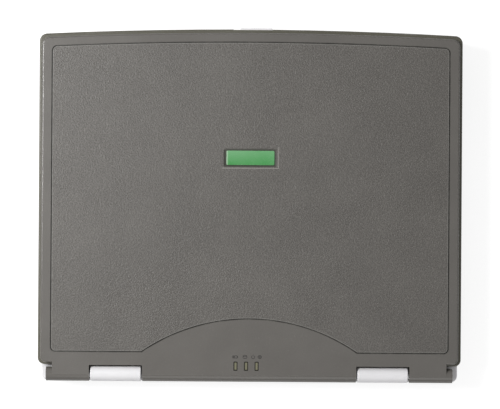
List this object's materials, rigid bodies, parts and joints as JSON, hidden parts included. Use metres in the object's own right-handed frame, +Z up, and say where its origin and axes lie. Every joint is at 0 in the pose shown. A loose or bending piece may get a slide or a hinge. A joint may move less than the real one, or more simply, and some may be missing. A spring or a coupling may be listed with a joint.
{
  "type": "laptop computer",
  "caption": "Laptop computer with a bowed front edge, inset hinges, an arched groove in the grey lid, a recessed green badge and status windows.",
  "frame": {"origin": "on the surface the computer stands on, below the middle of its outline", "axes": "+Z up, -Y towards the user at the front edge, +X to the user's right"},
  "size_m": [0.33, 0.276, 0.0385],
  "materials": {
    "lid_plastic": "fine-grained dark grey moulding",
    "silver_plastic": "satin silver paint",
    "case_plastic": "fine-grained grey moulding",
    "black_plastic": "satin black moulding",
    "key_plastic": "matt black key moulding",
    "badge_green": "satin green",
    "lens_plastic": "clear olive-grey",
    "panel_metal": "display module",
    "display_glass": "dark anti-glare glass",
    "lamp_glass": "white lamp tube",
    "steel": "bright steel",
    "aluminium": "sheet metal",
    "rubber": "soft black rubber",
    "board_green": "circuit board",
    "copper": "copper heat pipe and fins"
  },
  "bodies": {
    "base": {"hinge_cover_left": "silver_plastic", "hinge_cover_right": "silver_plastic", "top_case": "silver_plastic", "bottom_case": "case_plastic", "drive_cover": "case_plastic", "memory_cover": "case_plastic", "touchpad": "black_plastic", "keyboard_deck": "black_plastic", "speaker_left": "black_plastic", "speaker_right": "black_plastic", "fan_housing": "black_plastic", "network_jacks": "black_plastic", "power_inlet": "black_plastic", "audio_jacks": "black_plastic", "vga_port": "black_plastic", "hinge_bracket_left": "steel", "hinge_bracket_right": "steel", "case_screws": "steel", "usb_ports": "steel", "pc_card_cage": "steel", "optical_drive": "aluminium", "hard_drive": "aluminium", "rubber_feet": "rubber", "main_board": "board_green", "memory_module": "board_green", "heat_sink": "copper"},
    "lid": {"lid_cover": "lid_plastic", "lid_badge": "badge_green", "status_lenses": "lens_plastic", "lcd_frame": "panel_metal", "lcd_glass": "display_glass", "lamp_tube": "lamp_glass", "inverter_board": "board_green", "screen_bezel": "lid_plastic", "bezel_bumpers": "rubber", "bezel_screws": "steel", "hinge_arm_right": "steel", "hinge_arm_left": "steel"},
    "latch": {"latch_button": "silver_plastic", "latch_bar": "black_plastic"},
    "disc_tray": {"disc_tray": "case_plastic"},
    "spindle": {"disc_spindle": "black_plastic"},
    "eject": {"eject_button": "case_plastic"},
    "battery": {"battery_pack": "case_plastic"},
    "battery_catch": {"battery_latch": "case_plastic"},
    "card": {"card_blank": "case_plastic"},
    "card_release": {"card_eject": "case_plastic"},
    "fan": {"fan_rotor": "black_plastic"},
    "touchpad_left": {"touchpad_button_left": "silver_plastic"},
    "touchpad_right": {"touchpad_button_right": "silver_plastic"},
    "power": {"power_button": "silver_plastic"},
    "quick_left": {"quick_button_left": "silver_plastic"},
    "quick_right": {"quick_button_right": "silver_plastic"},
    "space": {"space_bar": "key_plastic"},
    "bottom_row": {"bottom_keys": "key_plastic"},
    "shift_row": {"shift_row_keys": "key_plastic"},
    "home_row": {"home_row_keys": "key_plastic"},
    "upper_row": {"upper_row_keys": "key_plastic"},
    "number_row": {"number_keys": "key_plastic"},
    "function_row": {"function_keys": "key_plastic"}
  },
  "joints": [
    {"name": "lid_hinge", "type": "hinge", "parent": "base", "child": "lid", "pos_m": [0, 0.1325, 0.033], "axis": [-1, 0, 0], "range_deg": [0, 140]},
    {"name": "latch_slide", "type": "slide", "parent": "lid", "child": "latch", "axis": [1, 0, 0], "range_m": [0, 0.005], "stiffness_N_per_m": 300, "springref_m": -0.002},
    {"name": "tray_slide", "type": "slide", "parent": "base", "child": "disc_tray", "axis": [1, 0, 0], "range_m": [0, 0.125]},
    {"name": "spindle_spin", "type": "hinge", "parent": "disc_tray", "child": "spindle", "pos_m": [0.0984, -0.06472, 0.013], "axis": [0, 0, 1], "continuous": true},
    {"name": "eject_press", "type": "slide", "parent": "disc_tray", "child": "eject", "axis": [-1, 0, 0], "range_m": [0, 0.0012], "stiffness_N_per_m": 400, "springref_m": -0.001},
    {"name": "battery_slide", "type": "slide", "parent": "base", "child": "battery", "axis": [-1, 0, 0], "range_m": [0, 0.133]},
    {"name": "battery_catch_slide", "type": "slide", "parent": "base", "child": "battery_catch", "axis": [1, 0, 0], "range_m": [0, 0.005], "stiffness_N_per_m": 200, "springref_m": -0.002},
    {"name": "card_slide", "type": "slide", "parent": "base", "child": "card", "axis": [-1, 0, 0], "range_m": [0, 0.0856]},
    {"name": "card_release_press", "type": "slide", "parent": "base", "child": "card_release", "axis": [1, 0, 0], "range_m": [0, 0.004], "stiffness_N_per_m": 200, "springref_m": -0.001},
    {"name": "fan_spin", "type": "hinge", "parent": "base", "child": "fan", "pos_m": [-0.109, 0.09, 0.0038], "axis": [0, 0, 1], "continuous": true},
    {"name": "touchpad_left_press", "type": "slide", "parent": "base", "child": "touchpad_left", "axis": [0, 0, -1], "range_m": [0, 0.0007], "stiffness_N_per_m": 400, "springref_m": -0.001},
    {"name": "touchpad_right_press", "type": "slide", "parent": "base", "child": "touchpad_right", "axis": [0, 0, -1], "range_m": [0, 0.0007], "stiffness_N_per_m": 400, "springref_m": -0.001},
    {"name": "power_press", "type": "slide", "parent": "base", "child": "power", "axis": [0, 0, -1], "range_m": [0, 0.0009], "stiffness_N_per_m": 400, "springref_m": -0.001},
    {"name": "quick_left_press", "type": "slide", "parent": "base", "child": "quick_left", "axis": [0, 0, -1], "range_m": [0, 0.0009], "stiffness_N_per_m": 400, "springref_m": -0.001},
    {"name": "quick_right_press", "type": "slide", "parent": "base", "child": "quick_right", "axis": [0, 0, -1], "range_m": [0, 0.0009], "stiffness_N_per_m": 400, "springref_m": -0.001},
    {"name": "space_press", "type": "slide", "parent": "base", "child": "space", "axis": [0, 0, -1], "range_m": [0, 0.0022], "stiffness_N_per_m": 400, "springref_m": -0.002},
    {"name": "bottom_row_press", "type": "slide", "parent": "base", "child": "bottom_row", "axis": [0, 0, -1], "range_m": [0, 0.0022], "stiffness_N_per_m": 400, "springref_m": -0.002},
    {"name": "shift_row_press", "type": "slide", "parent": "base", "child": "shift_row", "axis": [0, 0, -1], "range_m": [0, 0.0022], "stiffness_N_per_m": 400, "springref_m": -0.002},
    {"name": "home_row_press", "type": "slide", "parent": "base", "child": "home_row", "axis": [0, 0, -1], "range_m": [0, 0.0022], "stiffness_N_per_m": 400, "springref_m": -0.002},
    {"name": "upper_row_press", "type": "slide", "parent": "base", "child": "upper_row", "axis": [0, 0, -1], "range_m": [0, 0.0022], "stiffness_N_per_m": 400, "springref_m": -0.002},
    {"name": "number_row_press", "type": "slide", "parent": "base", "child": "number_row", "axis": [0, 0, -1], "range_m": [0, 0.0022], "stiffness_N_per_m": 400, "springref_m": -0.002},
    {"name": "function_row_press", "type": "slide", "parent": "base", "child": "function_row", "axis": [0, 0, -1], "range_m": [0, 0.0022], "stiffness_N_per_m": 400, "springref_m": -0.002}
  ]
}
